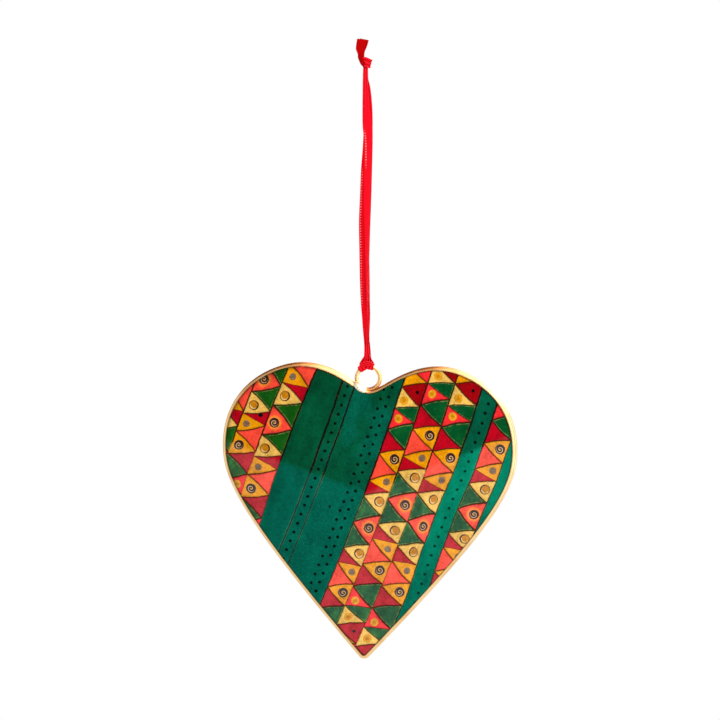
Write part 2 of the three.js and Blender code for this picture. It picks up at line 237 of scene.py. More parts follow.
def makeSatin(name, look):
    finish = Finish(name, {"Specular IOR Level": 0.03})
    across, along, _ = finish.split(finish.node("ShaderNodeUVMap", dict(uv_map="ribbon")))

    def beat(way, pitch):
        return (way * (2 * math.pi / weave[pitch])).math("SINE")

    ribs, threads = beat(along, "ribPitch") * 0.5 + 0.5, beat(across, "threadPitch") * 0.5 + 0.5
    stitched = beat(along, "stitchPitch")
    stitch = stitched.ramp(-0.1, 0.5) * (-1 * across).between(*weave["hem"], weave["hemSoft"])
    # the stitches turn pale only in the stretches where they catch the light: painted highlight
    stitchGlint = 0.0
    for start, end, strength in weave["stretches"]:
        stitchGlint = along.between(start, end, weave["stretchSoft"]) * strength + stitchGlint
    stitchGlint = stitchGlint * finish.noise(1.2, 2.0, (0.0, along, 5.0)).ramp(0.2, 0.5)
    behind = along.between(*weave["overlapped"], weave["overlapSoft"])
    overlapShadow = across.ramp(*weave["overlap"]) * across.ramp(*weave["overlapEnd"]) * behind
    # painted shade in the folds' hollows and painted shadow on the overlapped strand; painted highlight on
    # the ridges
    foldShade = finish.shade().ramp(0.0, 1.0).higher(overlapShadow * 0.85)
    uneven = finish.noise(1.6, 3.0, (across, along * 0.3, 0.0))
    finish.wear("Base Color", finish.layered(look["face"], [
        (uneven * 0.12, look["deep"]),
        (stitched.ramp(0.3, -0.6) * behind * 0.16, look["deep"]),
        (foldShade * 0.85, look["deep"]),
        (finish.shade().ramp(0.0, -1.0) * 0.25, look["ridgeHighlight"]),
        (stitch * stitchGlint, look["stitch"])]))
    finish.rough(weave["roughness"], ribs)
    finish.bump(ribs * 0.5 + threads * 0.3 + stitch * 1.5, weave["threadDepth"], 0.5)
    return finish.material


satin = makeSatin("satin_ribbon", satinLook)
satinShaded = makeSatin("satin_shaded", satinShadedLook)


# Mesh helpers: rings of points in millimetres, joined into a skin
def skinMesh(name, rings, startPole=None, endPole=None, loop=False, uvs=None, shades=None, sharp=None,
             flip=False):
    count = len(rings[0])
    points = [p for ring in rings for p in ring]
    faces = []
    for r in range(len(rings) if loop else len(rings) - 1):
        here, then = r * count, (r + 1) % len(rings) * count
        for i in range(count):
            j = (i + 1) % count
            faces.append((here + i, here + j, then + j, then + i))
    if startPole is not None:
        points.append(startPole)
        faces += [(len(points) - 1, (i + 1) % count, i) for i in range(count)]
    if endPole is not None:
        points.append(endPole)
        last = (len(rings) - 1) * count
        faces += [(len(points) - 1, last + i, last + (i + 1) % count) for i in range(count)]
    if flip:
        faces = [face[::-1] for face in faces]
    mesh = bpy.data.meshes.new(name)
    mesh.from_pydata([Vector(p) * mm for p in points], [], faces)
    if uvs is not None:
        flatUvs = [uv for ring in uvs for uv in ring] + [(0, 0)] * (len(points) - count * len(rings))
        layer = mesh.uv_layers.new(name="ribbon")
        for corner in mesh.loops:
            layer.data[corner.index].uv = flatUvs[corner.vertex_index]
    marked = mesh.attributes.new("shade", "FLOAT", "POINT")
    for i, shade in enumerate(shade for ring in shades or [] for shade in ring):
        marked.data[i].value = shade
    mesh.validate()
    mesh.shade_smooth()
    if sharp:
        mesh.set_sharp_from_angle(angle=math.radians(sharp))
    return mesh


def place(name, mesh, material):
    piece = bpy.data.objects.new(name, mesh)
    scene.collection.objects.link(piece)
    mesh.materials.append(material)
    return piece


def joined(name, meshes, material):
    pieces = [place(f"{name}_{i}", mesh, material) for i, mesh in enumerate(meshes)]
    bpy.ops.object.select_all(action="DESELECT")
    for piece in pieces:
        piece.select_set(True)
    bpy.context.view_layer.objects.active = pieces[0]
    bpy.ops.object.join()
    pieces[0].name = name
    pieces[0].data.name = name
    return pieces[0]


def settle(piece, body, node):
    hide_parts(node)
    if body:
        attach(piece, body)


def smoothed(stations, steps):
    # a smooth run through lists of numbers
    out = []
    last = len(stations) - 1
    for i in range(last):
        before, here, then, after = (stations[min(max(k, 0), last)] for k in (i - 1, i, i + 1, i + 2))
        for k in range(steps):
            t = k / steps
            out.append([0.5 * (2 * b + (c - a) * t + (2 * a - 5 * b + 4 * c - d) * t * t
                               + (3 * b - a - 3 * c + d) * t ** 3)
                        for a, b, c, d in zip(before, here, then, after)])
    return out + [list(stations[-1])]


# Ribbon stretches: each station has a middle, a direction across, a width, a thickness, a gutter and folds
ribbonCut = dict(width=3.0, thickness=0.26, points=11, edgeRound=10, edgeThin=0.25, gutterMiddle=0.33,
                 ripples=7.5, rippleDepth=0.1, sharp=50)


def ribbonRing(middle, across, through, width, thickness, gutter, folds):
    cut, points = ribbonCut, ribbonCut["points"]
    ring, places, shades = [], [], []
    for side in (-1, 1):
        for k in range(points):
            share = (k / (points - 1) * 2 - 1) * -side
            rounded = math.sqrt(max(0.0, 1 - abs(share) ** cut["edgeRound"]))
            half = thickness / 2 * (cut["edgeThin"] + (1 - cut["edgeThin"]) * rounded)
            ripple = folds * math.cos(share * cut["ripples"])
            depth = gutter * (share * share - cut["gutterMiddle"]) + ripple + side * half
            ring.append(middle + across * (share * width / 2) + through * depth)
            places.append(share * width / 2)
            # painted shade in the hollows of the folds, and painted highlight (below 0) on their ridges
            shades.append(min(1, max(-1, -side * ripple / cut["rippleDepth"])))
    return ring, places, shades


def ribbonSkin(name, stations, loop=False, start=0.0):
    # stations: (middle, across, width, thickness, gutter, folds)
    rings, uvs, shades, travelled = [], [], [], start
    count = len(stations)
    for i, (middle, across, width, thickness, gutter, folds) in enumerate(stations):
        before = stations[(i - 1) % count if loop else max(i - 1, 0)][0]
        after = stations[(i + 1) % count if loop else min(i + 1, count - 1)][0]
        way = (after - before).normalized()
        across = (across - way * across.dot(way)).normalized()
        through = way.cross(across)
        ring, places, ringShades = ribbonRing(middle, across, through, width, thickness, gutter, folds)
        travelled += (middle - stations[max(i - 1, 0)][0]).length
        rings.append(ring)
        uvs.append([(place, travelled) for place in places])
        shades.append(ringShades)
    poles = (None, None) if loop else (stations[0][0], stations[-1][0])
    return skinMesh(name, rings, *poles, loop=loop, uvs=uvs, shades=shades, sharp=ribbonCut["sharp"])


# Loop of ribbon: [share down, x, y, share of the width, turn], in millimetres
strandTop, strandBottom = 0.0, -82.7
leftRoute = [
    [0, -0.42, 0.42, 0.45, 6], [0.04, -0.38, 0.42, 0.48, 4], [0.07, 0, 0.4, 0.62, 2],
    [0.11, 0.25, 0.4, 0.74, 0], [0.16, 0.38, 0.4, 0.84, 0], [0.22, 0.3, 0.45, 0.92, 0],
    [0.29, 0.05, 0.5, 0.95, -2], [0.37, -0.4, 0.5, 1, -4], [0.46, -0.73, 0.4, 0.97, -6],
    [0.56, -1, 0.3, 1, -4], [0.66, -0.85, 0.15, 1, 0], [0.77, -0.7, 0.2, 1, 3],
    [0.85, -0.55, 0.25, 0.92, 6], [0.9, -0.36, 0.3, 0.85, 8], [0.95, -0.3, 0.4, 0.7, 8],
    [1, -0.25, 0.45, 0.5, 8],
]
rightRoute = [
    [0, -0.45, -0.3, 0.48, 4], [0.05, -0.45, -0.35, 0.54, 4], [0.1, -0.35, -0.4, 0.64, 4],
    [0.16, -0.2, -0.45, 0.76, 4], [0.19, 0.1, -0.5, 0.95, 8], [0.22, 0.35, -0.7, 1, 20],
    [0.26, 0.65, -1, 1, 38], [0.32, 0.72, -1.3, 1, 45], [0.4, 0.68, -1.5, 1, 50],
    [0.48, 0.6, -1.7, 1, 54], [0.56, 0.55, -1.85, 1, 62], [0.66, 0.55, -2, 1, 73],
    [0.77, 0.5, -2, 1, 84], [0.85, 0.42, -1.75, 0.95, 95], [0.9, 0.36, -1.4, 0.85, 105],
    [0.95, 0.3, -0.85, 0.7, 122], [1, 0.27, -0.5, 0.5, 142],
]
strandLook = dict(gutter=0.28, steps=6, gatherFolds=0.14, gatherThickness=1.2)


def strandStations(route, top, bottom, gutter):
    look, stations = strandLook, []
    for share, x, y, widthShare, turn in smoothed(route, look["steps"]):
        at, across = Vector((x, y, top + share * (bottom - top))), Vector((*wave(turn), 0))
        gather, width = 1 - widthShare, widthShare * ribbonCut["width"]
        thickness = ribbonCut["thickness"] * (1 + look["gatherThickness"] * gather)
        stations.append((at, across, width, thickness, gutter * widthShare, look["gatherFolds"] * gather))
    return stations


def makeStrand(name, node, route, gutter, start):
    stations = strandStations(route, strandTop, strandBottom, gutter)
    piece = place(name, ribbonSkin(name, stations, start=start), satin)
    settle(piece, None, node)
    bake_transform(piece)
    return piece, [tuple(station[0] * mm) for station in stations]


leftStrand, leftPath = makeStrand("left_strand", "ribbon_left_strand", leftRoute, strandLook["gutter"], 100)
rightStrand, rightPath = makeStrand("right_strand", "ribbon_right_strand", rightRoute,
                                    -strandLook["gutter"], 0)

# Gathered pair above the ring, going down from the strands' ends: [z, x, y, width, turn, folds]
neckRoutes = dict(
    left=[[-82.7, -0.25, 0.45, 1.5, 8, 0.11], [-84.3, -0.15, 0.05, 1.4, 6, 0.1],
          [-86, -0.15, -0.25, 1.35, 0, 0.08], [-87.2, -0.25, -0.3, 1.35, -4, 0.08],
          [-88.2, -0.65, -0.15, 1.8, -6, 0.1], [-89, -1.15, 0.25, 1.9, -8, 0.1],
          [-89.9, -1.5, 0.3, 2.1, -10, 0.1]],
    right=[[-82.7, 0.27, -0.5, 1.5, 142, 0.11], [-84.3, 0.33, -0.05, 1.4, 158, 0.13],
           [-86, 0.45, 0.15, 1.3, 168, 0.15], [-87.2, 0.5, 0.15, 1.3, 175, 0.22],
           # folds of -0.5 here put a spot of painted shade between the two strands, above the bight
           [-88.2, 0.75, 0.12, 1.5, 180, -0.5], [-89, 1.05, 0.15, 1.8, 182, 0.1],
           [-89.8, 1.25, 0.25, 1.9, 184, 0.1]],
)
neckLook = dict(thickness=0.42, gutter=0.1, steps=5)


def neckSkin(name, route):
    look, stations = neckLook, []
    for z, x, y, width, turn, folds in smoothed(route, look["steps"]):
        across = Vector((*wave(turn), 0))
        stations.append((Vector((x, y, z)), across, width, look["thickness"], look["gutter"], folds))
    return ribbonSkin(name, stations)


neck = joined("ribbon_gather", [neckSkin("neck_" + side, route) for side, route in neckRoutes.items()], satin)
settle(neck, None, "ribbon_neck")
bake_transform(neck)

# Hitch: two wraps round the wire, and the bight across their front
ringShape = dict(centre=(0.42, 0, -93.6), radius=3.55, wire=1.3, steps=72, wireSteps=18)
hitchLook = dict(wraps=(-31, 9), width=2.4, thickness=0.28, clear=0.12, gutter=0.08, folds=0.07, steps=28)
bightLook = dict(across=(0, -0.25, 1), thickness=0.45, gutter=-0.12, steps=5)
bightRoute = [  # x, y, z, height, folds
    [-1.85, -0.75, -90.0, 0.8, 0.04], [-1.5, -1.2, -89.55, 1.1, 0.06], [-0.8, -1.4, -89.35, 1.5, 0.1],
    [0.0, -1.5, -89.2, 1.6, 0.1], [0.8, -1.45, -89.2, 1.5, 0.1], [1.45, -1.25, -89.4, 1.1, 0.06],
    [1.8, -0.75, -89.85, 0.8, 0.04],
]


def wrapSkin(name, angle):
    look, stations = hitchLook, []
    ca, sa = wave(angle)
    along, out = Vector((ca, 0, -sa)), Vector((sa, 0, ca))
    middle = Vector(ringShape["centre"]) + out * ringShape["radius"]
    reach = ringShape["wire"] / 2 + look["clear"] + look["thickness"] / 2
    for k in range(look["steps"]):
        co, si = wave(k * 360 / look["steps"])
        at = middle + (out * co + Vector((0, 1, 0)) * si) * reach
        stations.append((at, along, look["width"], look["thickness"], look["gutter"], look["folds"]))
    return ribbonSkin(name, stations, loop=True)


def bightSkin(name):
    look, stations = bightLook, []
    across = Vector(look["across"])
    for x, y, z, height, folds in smoothed(bightRoute, look["steps"]):
        stations.append((Vector((x, y, z)), across, height, look["thickness"], look["gutter"], folds))
    return ribbonSkin(name, stations)


wraps = [wrapSkin(f"wrap_{i}", angle) for i, angle in enumerate(hitchLook["wraps"])]
hitch = joined("ribbon_hitch_wraps", wraps + [bightSkin("bight")], satin)
settle(hitch, "heart", "ribbon_hitch")

# Knot: the gathered body that the tails run down into, and one turn of ribbon that stands out on the right
knotBody = [  # x, z, half width, half depth
    [-1.75, 4.3, 0.95, 0.45], [-1.95, 3.6, 0.9, 0.65], [-1.7, 2.9, 0.92, 0.85], [-1.38, 2.1, 0.96, 1.0],
    [-1.1, 1.4, 0.85, 1.05], [-0.8, 0.75, 0.65, 0.9], [-0.5, 0.1, 0.6, 0.4], [-0.42, -0.5, 0.5, 0.25],
]
knotTurn = [  # x, y, z, width, lean
    [-1.3, -0.4, 2.1, 2.4, -10], [-0.55, -0.66, 1.85, 2.9, -5], [0.2, -1.0, 1.55, 2.85, 2],
    [0.75, -0.8, 1.3, 2.75, 9], [1.03, -0.3, 1.2, 2.7, 14], [1.05, 0.3, 1.2, 2.6, 14],
    [0.7, 0.8, 1.2, 2.4, 8], [-0.1, 1.05, 1.3, 2.2, 0], [-1.0, 0.95, 1.6, 2.2, -8],
    [-1.7, 0.3, 1.9, 2.0, -10],
]
knotLook = dict(pleats=6, pleatDepth=0.06, pleatTwist=40, points=36, steps=4, cloth=(0.8, 0.25),
                turnThickness=0.35, turnGutter=0.1, turnFolds=0.07)


def knotBodySkin(name):
    look = knotLook
    path = smoothed(knotBody, look["steps"])
    rings, uvs, shades = [], [], []
    for i, (x, z, halfWidth, halfDepth) in enumerate(path):
        before, after = path[max(i - 1, 0)], path[min(i + 1, len(path) - 1)]
        way = Vector((after[0] - before[0], 0, after[1] - before[1])).normalized()
        side = Vector((-way.z, 0, way.x))
        ring, places, hollows = [], [], []
        for k in range(look["points"]):
            angle = k * 360 / look["points"]
            c, s = wave(angle)
            pleat = wave(angle * look["pleats"] + look["pleatTwist"] * i)[0]
            swell = 1 + look["pleatDepth"] * pleat
            ring.append(Vector((x, 0, z)) + side * (halfWidth * c * swell)
                        + Vector((0, halfDepth * s * swell, 0)))
            places.append((c * look["cloth"][0], i * look["cloth"][1]))
            # painted shade in the hollows of the pleats
            hollows.append(max(0, -pleat))
        rings.append(ring)
        uvs.append(places)
        shades.append(hollows)
    ends = [Vector((x, 0, z)) for x, z, _, _ in (path[0], path[-1])]
    return skinMesh(name, rings, *ends, uvs=uvs, shades=shades)


def knotTurnSkin(name):
    look, stations = knotLook, []
    for x, y, z, width, lean in smoothed(knotTurn + knotTurn[:1], look["steps"])[:-1]:
        ca, sa = wave(lean)
        stations.append((Vector((x, y, z)), Vector((sa, 0, ca)), width, look["turnThickness"],
                         look["turnGutter"], look["turnFolds"]))
    return ribbonSkin(name, stations, loop=True)


# the knot's body wears the darker satin: painted shade
body = place("knot_body", knotBodySkin("knot_body"), satinShaded)
settle(body, "ribbon_loop", "ribbon_knot")
turn = place("knot_turn", knotTurnSkin("knot_turn"), satin)
settle(turn, "ribbon_loop", "ribbon_knot")

# Two cut ends above the knot
tailShape = dict(bottom=3.3, top=8.5, gutter=0.14, cutRings=5, frayed=0.04, frays=17)
tailRoutes = dict(
    front=[[0, -1.5, -0.32, 0.98, 6], [0.3, -1.77, -0.33, 0.98, 5], [0.55, -1.87, -0.3, 0.97, 4],
           [0.8, -1.8, -0.28, 0.7, 2], [1, -1.75, -0.26, 0.62, 0]],
    back=[[0, -0.85, 0.34, 0.97, -6], [0.3, -1.4, 0.35, 0.97, -5], [0.55, -1.85, 0.32, 0.93, -4],
          [0.8, -1.8, 0.3, 0.66, -2], [1, -1.75, 0.28, 0.6, 0]],
)
tailCuts = dict(front=(0.0, 0.2), back=(-0.12, 0.3))  # how far the cut stands above the top, left and right


def makeTail(name, node, route, cut):
    shape = tailShape
    stations = strandStations(route, shape["top"], shape["bottom"], shape["gutter"])
    mesh = ribbonSkin(name, stations)
    points = ribbonCut["points"]
    for i, vertex in enumerate(mesh.vertices[:2 * points * shape["cutRings"]]):
        ring, spot = divmod(i, 2 * points)
        share = (spot if spot < points else 2 * points - 1 - spot) / (points - 1)
        rise = cut[0] + (cut[1] - cut[0]) * share + shape["frayed"] * math.sin(shape["frays"] * share)
        vertex.co.z += rise * mm * (1 - ring / shape["cutRings"])
    mesh.vertices[2 * points * len(stations)].co.z += sum(cut) / 2 * mm
    # the tails wear the darker satin: painted shade
    piece = place(name, mesh, satinShaded)
    settle(piece, "ribbon_loop", node)
    return piece


frontTail = makeTail("front_tail", "ribbon_front_tail", tailRoutes["front"], tailCuts["front"])
backTail = makeTail("back_tail", "ribbon_back_tail", tailRoutes["back"], tailCuts["back"])

print("ribbon tied")


# Heart outline, measured from the tip
heartShape = dict(
    width=90, flankHeight=48.5, hipRise=15.8, lobeRise=25.3, lobeSpacing=42, cleftDepth=7.6, tipRadius=2,
    flank=0.88, hip=0.68, side=0.735, lobe=0.335, lobeInner=0.52, cleft=0.165,
    ringOffset=-0.77, ringRise=3.5, lean=1.25, steps=(8, 44, 44, 36))
shellShape = dict(
    sheet=0.6, seamHalf=0.25, wall=1.25, shoulder=0.9, shoulderCuts=12, sharp=55,
    crown=1.5, crownPower=0.75, crownHeight=50, crownRoundness=1.5, crownRings=22, crownSpread=0.9,
    # shoulderTones: patina where the shoulder meets the face, painted shade where it meets the wall
    shoulderTones=(0.5, 0.25),  # shade where the shoulder meets the face, and where it meets the wall
    # the shoulder line only darkens the colour of two rings of the shoulder
    shoulderLineCuts=(6, 7), shoulderLineFrom=(46, 62), shoulderLineShade=1.5, shoulderLineLeft=0.4,  # a line, fainter lower down
    # the wall's shades are painted shade, deeper at the seam joint and inside
    wallRings=[  # inset, way out from the seam, shade
        (0, 0.6, 0.5), (0, 0.28, 0.6), (0.03, 0.06, 0.8), (0.12, 0, 1), (0.6, 0, 1), (0.62, 1, 1)])
panelShape = dict(border=1.05, thickness=0.45, clearance=0.1, edgeCuts=5, edgeRound=0.6, hollow=0.5,
                  leftShade=0.35, borderShade=0.9, edgeShade=0.8)


def bezier(p0, p1, p2, p3, steps):
    for i in range(steps):
        t, s = i / steps, 1 - i / steps
        at = p0 * s ** 3 + p1 * (3 * s * s * t) + p2 * (3 * s * t * t) + p3 * t ** 3
        way = (p1 - p0) * (s * s) + (p2 - p1) * (2 * s * t) + (p3 - p2) * (t * t)
        yield at, Vector((way.y, -way.x)).normalized()


def heartOutline(shape):
    half, flank, tip = shape["width"] / 2, shape["flankHeight"], shape["tipRadius"]
    widestHeight = flank + shape["hipRise"]
    lobeHeight = widestHeight + shape["lobeRise"]
    lobeX = shape["lobeSpacing"] / 2
    cleftHeight = lobeHeight - shape["cleftDepth"]
    angle = math.acos(tip / math.hypot(half, flank - tip)) - math.atan2(flank - tip, half)
    uphill = Vector((math.sin(angle), math.cos(angle)))
    start = Vector((tip * math.cos(angle), tip * (1 - math.sin(angle))))
    handle = shape["flank"] * (Vector((half, flank)) - start).length
    widest, lobeTop = Vector((half, widestHeight)), Vector((lobeX, lobeHeight))
    cleft = Vector((0, cleftHeight))
    tipSteps, flankSteps, lobeSteps, cleftSteps = shape["steps"]
    right = []
    for i in range(tipSteps):
        turn = -math.pi / 2 + (math.pi / 2 - angle) * i / tipSteps
        normal = Vector((math.cos(turn), math.sin(turn)))
        right.append((Vector((0, tip)) + normal * tip, normal))
    right += bezier(start, start + uphill * handle,
                    Vector((half, widestHeight - shape["hip"] * shape["hipRise"])), widest, flankSteps)
    right += bezier(widest, Vector((half, widestHeight + shape["side"] * shape["lobeRise"])),
                    Vector((lobeX + shape["lobe"] * (half - lobeX), lobeHeight)), lobeTop, lobeSteps)
    right += bezier(lobeTop, Vector((lobeX * (1 - shape["lobeInner"]), lobeHeight)),
                    Vector((lobeX * shape["cleft"], cleftHeight)), cleft, cleftSteps)
    top = (cleft, Vector((0, 1)))
    left = [(Vector((-at.x, at.y)), Vector((-normal.x, normal.y))) for at, normal in right[:0:-1]]
    return right + [top] + left, cleftHeight


outline, cleftHeight = heartOutline(heartShape)
leanCos, leanSin = wave(heartShape["lean"])


def heartPoint(flat, depth):
    x, z = flat.x - heartShape["ringOffset"], flat.y - cleftHeight - heartShape["ringRise"]
    ring = ringShape["centre"]
    return Vector((ring[0] + x * leanCos + z * leanSin, ring[1] + depth, ring[2] - x * leanSin + z * leanCos))


def insetRing(inset, depth):
    return [heartPoint(at - normal * inset, depth) for at, normal in outline]


def crownRing(share, inset, side, base):
    shape = shellShape
    centre = Vector((0, shape["crownHeight"]))
    spokes = [at - normal * inset - centre for at, normal in outline]
    circle = min(spoke.length for spoke in spokes)
    bend = share ** shape["crownRoundness"]
    lift = shape["crown"] * (1 - share ** 2) ** shape["crownPower"]
    return [heartPoint(centre + spoke.normalized() * (share * (bend * spoke.length + (1 - bend) * circle)),
                       side * (base + lift)) for spoke in spokes]


def crownPole(side, base):
    return heartPoint(Vector((0, shellShape["crownHeight"])), side * (base + shellShape["crown"]))


def crownShares():
    # closer together near the edge, where the crown turns down
    count = shellShape["crownRings"]
    return [math.sin(math.pi / 2 * k / count) ** shellShape["crownSpread"] for k in range(1, count)]


wallEdge = shellShape["seamHalf"] + shellShape["wall"]
faceEdge = wallEdge + shellShape["shoulder"]


def shellMesh(name, side):
    shape, count, cuts = shellShape, len(outline), shellShape["shoulderCuts"]
    rings = [crownRing(share, shape["shoulder"], side, faceEdge) for share in crownShares()]
    shades = [[1.0] * count] * len(rings)
    low, high = shape["shoulderLineFrom"]
    shoulderLine = []
    for at, _ in outline:
        least = shape["shoulderLineLeft"] if at.x < 0 else 0
        shoulderLine.append(shape["shoulderLineShade"] * min(1, max(least, (at.y - low) / (high - low))))
    tones = dict(zip((0, cuts), shape["shoulderTones"]))
    for k in range(cuts + 1):
        co, si = wave(90 - 90 * k / cuts)
        rings.append(insetRing(shape["shoulder"] * (1 - co), side * (wallEdge + shape["shoulder"] * si)))
        shades.append(shoulderLine if k in shape["shoulderLineCuts"] else [tones.get(k, 0.0)] * count)
    for inset, depth, shade in shape["wallRings"]:
        rings.append(insetRing(inset, side * (shape["seamHalf"] + depth)))
        shades.append([shade] * count)
    inner = heartPoint(Vector((0, shape["crownHeight"])), side * (faceEdge - shape["sheet"]))
    return skinMesh(name, rings, crownPole(side, faceEdge), inner, shades=shades, sharp=shape["sharp"],
                    flip=side > 0)


def panelMesh(name, side):
    shape, count, cuts = panelShape, len(outline), panelShape["edgeCuts"]
    under = faceEdge + shape["clearance"]
    top = under + shape["thickness"]
    bend = shape["thickness"] * shape["edgeRound"]
    rings = [crownRing(share, shape["border"], side, top) for share in crownShares()]
    shades = [[0.0] * count] * (len(rings) - 2)
    shades.append([shape["leftShade"] if at.x < 0 else 0.0 for at, _ in outline])
    shades.append([shape["borderShade"]] * count)
    for k in range(cuts + 1):
        co, si = wave(90 - 90 * k / cuts)
        rings.append(insetRing(shape["border"] + bend * (1 - co), side * (top - bend * (1 - si))))
        shades.append([shape["edgeShade"] + (1 - shape["edgeShade"]) * (k / cuts) ** 2] * count)
    rings.append(insetRing(shape["border"], side * under))
    shades.append([1.0] * count)
    lift = shellShape["crown"] * shape["hollow"]
    below = heartPoint(Vector((0, shellShape["crownHeight"])), side * (under + lift))
    return skinMesh(name, rings, crownPole(side, top), below, shades=shades, sharp=shellShape["sharp"],
                    flip=side > 0)


# Brass: warm and brushed by handling, browner in spots, with patina in the corners, painted shade on the wall
# and a darker line round the shoulder
brassLook = dict(bright=rgb(252, 216, 158), dull=rgb(238, 188, 122), tarnish=rgb(146, 96, 46),
                 spot=6.0, speck=0.7, roughness=(0.28, 0.16), dents=0.00005)


def makeBrass(look):
    finish = Finish("brass", {"Metallic": 1.0})
    at = finish.objectXyz(1000)
    broad = finish.noise(look["spot"], 3.0, at)
    fine = finish.noise(look["speck"], 4.0, at, 0.6)
    # the mesh's marks: patina in the corners, painted shade on the wall, the dark seam, and a line on the
    # shoulder
    corner = finish.shade() * (0.35 + broad * 0.9)
    finish.wear("Base Color", finish.layered(look["bright"], [
        (broad.ramp(0.42, 0.75), look["dull"]),
        ((fine.ramp(0.62, 0.8) * 0.4).higher(corner * 0.75).lower(1.0), look["tarnish"])]))
    finish.rough(look["roughness"], fine)
    finish.bump(broad * 0.7 + fine * 0.2, look["dents"], 0.4)
    return finish.material


brass = makeBrass(brassLook)

solderLook = dict(face=rgb(255, 246, 222), dark=rgb(206, 168, 112), tarnish=rgb(150, 98, 50),
                  lump=1.1, roughness=(0.24, 0.2), dents=0.0001)


def makeSolder(look):
    finish = Finish("solder", {"Metallic": 0.6})
    lumps = finish.noise(look["lump"], 3.0, finish.objectXyz(1000))
    finish.wear("Base Color", finish.layered(look["face"], [
        (lumps.ramp(0.45, 0.75), look["dark"]), (finish.shade() * 0.8, look["tarnish"])]))
    finish.rough(look["roughness"], lumps)
    finish.bump(lumps, look["dents"], 0.5)
    return finish.material


solder = makeSolder(solderLook)

# Painted pattern. Lengths are millimetres across the slanting bands, and along them downwards from the middle
paintColours = dict(
    greenTop=rgb(0, 70, 42), greenMid=rgb(0, 80, 49), greenDark=rgb(0, 66, 41), greenLow=rgb(0, 90, 73),
    teal=rgb(0, 95, 75), paleTop=rgb(0, 82, 57), paleLow=rgb(1, 126, 97), leaf=rgb(1, 77, 34),
    leafLeft=rgb(16, 82, 14), lime=rgb(132, 140, 40), moss=rgb(38, 108, 34), straw=rgb(168, 158, 86),
    coral=rgb(250, 74, 54), rose=rgb(240, 44, 47), crimson=rgb(180, 4, 26), garnet=rgb(150, 2, 10),
    mustard=rgb(232, 150, 6), cream=rgb(235, 185, 88), glow=rgb(250, 150, 44), sun=rgb(238, 176, 10),
    gold=rgb(206, 130, 10), oldGold=rgb(192, 122, 8), pearl=rgb(250, 222, 160), grey=rgb(126, 110, 96),
    chalk=rgb(206, 176, 146), swirl=rgb(52, 29, 22), ink=rgb(14, 8, 7), inkBrown=rgb(66, 30, 14),
    rimInk=rgb(30, 18, 6), dot=rgb(2, 14, 9), haze=rgb(240, 250, 255),
)
bandPattern = dict(
    middle=(0.42, -129.1), slant=20.1, foreshortened=0.988,
    columns=[  # left edge, right edge, middle of the mirrored run, 1 where the marks stand on the right
        (-51.6, -44.2, 2.9, 0), (-44.2, -36.5, -22.0, 0), (-36.5, -28.4, -10.85, 0), (-1.72, 5.37, 8.9, 1),
        (5.37, 13.2, -1.6, 1), (13.2, 21.3, 2.55, 1), (26.9, 34.15, -6.2, 1)],
    upperRun=0.957, lowerRun=1.0,  # above and below the middle of a run
    farColumn=25, farRun=1.05,  # beyond this place the tiles are shorter, and only the inner discs are drawn
    # tiles from the middle of a run outwards: colour, the mark on it, and the way to the next apex
    tiles=[("coral", "spiral", 4.7), ("leaf", None, 3.7), ("cream", "disc", 3.5), ("crimson", None, 1.2),
           ("mustard", "spot", 4.6), ("coral", None, 3.75), ("mustard", "spiral", 3.6),
           ("crimson", None, 3.75), ("leaf", None, 4.45), ("rose", "disc", 2.1), ("leaf", None, 2.75),
           ("cream", "disc", 3.8), ("crimson", None, 3.4), ("mustard", None, 3.2), ("rose", None, 3.4),
           ("mustard", None, 3.6)],
    tileBow=0.09, markShare=0.71, markWeights={"spiral": 0.4, "disc": 0.65, "spot": 0.2, None: 0.4},
    spiralRadius=1.5, spiralPitch=0.8, discRadii=(1.52, 1.24), spotRadius=1.08, blackDot=12,
    ruledLines=[(-19.4, -0.05), (-15.4, 0.02)],  # place, and how much thinner than the bands' lines
    lineWidth=0.27, edgeWidth=0.15, sharedThinner=0.07, lowerThinner=0.15, leftThinner=(-17, 0.05),
    dotRows=[(-17.4, -26.1, 2.96), (-6.7, -17.0, 3.0), (-4.5, -18.4, 3.02), (24.4, -20.7, 3.07)],
    dotRadius=0.5, strayDots=[(-10.1, 7.0, 0.46), (-38.9, -11.6, 0.82)],
    # the lower half is hazed by a pale room mirrored in the lacquer, painted reflection, from a height that
    # rises to both sides; the ground, the stripe, the dots and the lines are paler there too
    lowHeight=(1.9, -0.3), lowSlope=(0.385, 0.03), lowReflection=0.034,
)
brushLook = dict(
    # shift, centre and bend of the bands to the right of an edge, and to the left of it
    mainBow=(1.0, 4, -0.0007), leftBow=(0.3, 5, 0.0011), bowEdge=(-28, -22),
    bulge=0.85, bulgeEdge=(15, 19), bulgeRuns=[(-22, -2), (26, 8)],
    hand=(9.0, 0.6), shake=(1.6, 0.34), drift=(2.6, 0.4),  # size, and how far a line strays
    daub=0.9, grain=0.35, patch=3.5, streak=5.0, cloud=11.0,  # sizes of the spots in the paint
    # leftShade darkens the bands left of the bow's edge: painted shade
    lightness=-0.28, leftShade=0.88, roughness=(0.4, 0.15), dents=0.00012,
    tealEdge=(-22, -14), speckleEnd=(20, 8), darkFrom=(0.5, 2.5), darkTo=(13, 4),
    paleEdge=(12, 24), paleFade=(2, -38), outerStripe=30, outerFade=(4, -12), palerDots=20,
)


